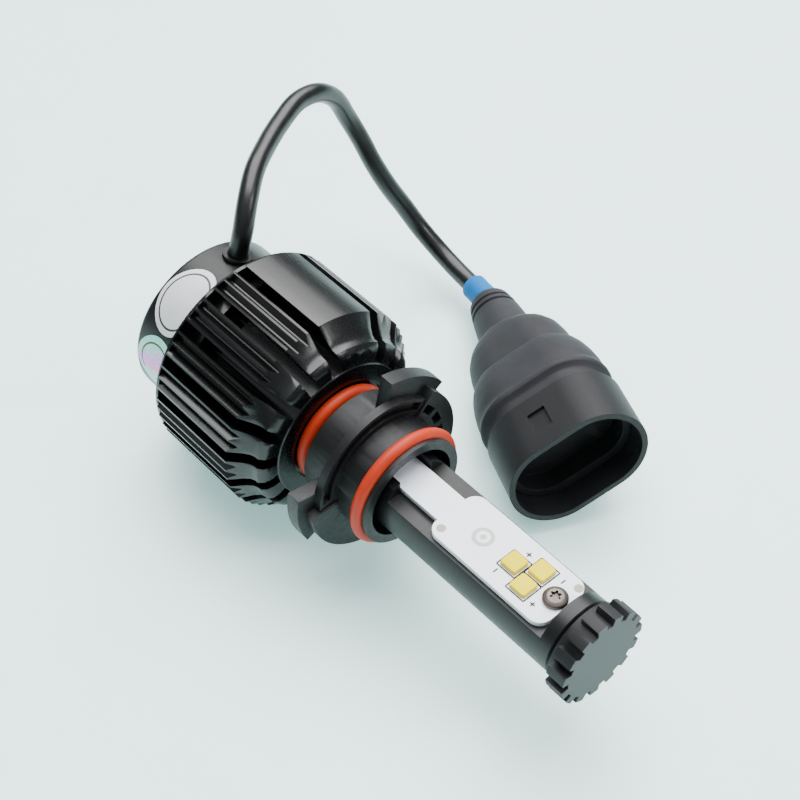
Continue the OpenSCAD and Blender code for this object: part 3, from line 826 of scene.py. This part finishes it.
# The material and the slot name of each piece
PIECE_FINISH = {
    softened["stem"]: (anodised_stem, "black_anodised_stem"),
    softened["end_cap"]: (milled_cap(), "cap_finish"),
    softened["heat_sink"]: (anodised_sink, "black_anodised_sink"),
    softened["rear_cover"]: (powder_cover(), "cover_black"),
    softened["collar"]: (nylon, "collar_nylon"),
    softened["plug_shell"]: (shell_nylon, "plug_plastic"),
    softened["plug_insert"]: (shell_nylon, "plug_plastic"),
    softened["led_board_top"]: (board_lacquer, "board_white"),
    softened["led_board_bottom"]: (board_lacquer, "board_white"),
    front_seal: (seal_rubber, "seal_red"),
    rear_seal: (seal_rubber, "seal_red"),
    boot: (boot_rubber(), "boot_rubber"),
    cable: (jacket, "cable_black"),
    sleeve: (shrink_sleeve(), "sleeve_blue"),
}
for piece, (material, slot) in PIECE_FINISH.items():
    dress(piece, material)

NODE_FINISH = {
    "cover_screws": screw_metal,
    "oval_label": silver_foil(), "round_label": rainbow_foil(),
    "cable_gland": jacket,
    "fan_frame": hidden["pbt"], "fan_rotor": hidden["pbt"],
    "fan_magnet": hidden["ferrite"], "fan_stator": hidden["copper"],
    "fan_bearing": hidden["bronze"], "driver_board": hidden["green_board"],
    "driver_inductor": hidden["ferrite"], "driver_capacitors": hidden["can"],
    "driver_chips": hidden["epoxy"], "led_wires": seal_rubber,
    "plug_terminals": hidden["tin"],
}
for node, material in NODE_FINISH.items():
    dress(frame["nodes"][node], material)

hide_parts("cable")


# ---- Floor and light ----

def make_floor():
    """A wide pale sheet of acrylic, square and flat, as far below the axis as
    the sink's radius. A faint glow stands for light from all around."""
    sink_r = 20.25 * MM
    z = -sink_r
    half = 3.0
    corners = [(-half, -half, z), (half, -half, z), (half, half, z), (-half, half, z)]
    mesh = bpy.data.meshes.new("floor")
    mesh.from_pydata(corners, [], [(0, 1, 2, 3)])
    floor = bpy.data.objects.new("floor", mesh)
    bpy.context.scene.collection.objects.link(floor)
    dress(floor, surface("pale_floor", "#dff4f2", "#e4f7f5", (0.3, 0.36), 40, 0.0,
                         fixed={"Emission Color": linear("#b4efe8"),
                                "Emission Strength": 0.6}))


def area_light(name, place, aim, size, power):
    """A square soft box at a place, facing a point, with its size in metres."""
    light = bpy.data.lights.new(name, "AREA")
    light.shape = "SQUARE"
    light.size = size
    light.energy = power
    lamp = bpy.data.objects.new(name, light)
    bpy.context.scene.collection.objects.link(lamp)
    back = np.array(place, float) - np.array(aim, float)
    back /= np.linalg.norm(back)
    steep = abs(back[2]) > 0.95
    side = np.cross((0.0, 1.0, 0.0) if steep else (0.0, 0.0, 1.0), back)
    side /= np.linalg.norm(side)
    up = np.cross(back, side)
    turn = Matrix(np.column_stack([side, up, back]).tolist()).to_4x4()
    lamp.matrix_world = Matrix.Translation(tuple(place)) @ turn


def make_light():
    """One very large soft box overhead, a dim card behind that the sink's smooth
    land mirrors, a small box that the sink's coves mirror, and a room that is
    bright above and dim at eye level."""
    world = bpy.data.worlds.new("studio_room")
    world.use_nodes = True
    tree = world.node_tree
    tree.nodes.clear()
    way = add(tree, "ShaderNodeTexCoord").outputs["Generated"]
    split = add(tree, "ShaderNodeSeparateXYZ", {"Vector": way})
    height = add(tree, "ShaderNodeMapRange",
                 {"Value": split.outputs["Z"], "From Min": 0.1, "From Max": 0.9,
                  "To Min": 0.18, "To Max": 1.0})
    room = add(tree, "ShaderNodeBackground",
               {"Color": linear("#e4eef0"), "Strength": height.outputs["Result"]})
    add(tree, "ShaderNodeOutputWorld", {"Surface": room.outputs["Background"]})
    bpy.context.scene.world = world
    area_light("key", (-0.25, 0.3, 0.9), (0, 0.01, 0), size=1.1, power=30)
    area_light("back_card", (-0.37, 0.51, 0.41), (-0.03, 0, 0), size=0.35, power=1.6)
    area_light("patch", (0.5, 0.3, 0.45), (0, 0.01, 0), size=0.25, power=1.6)


make_floor()
make_light()
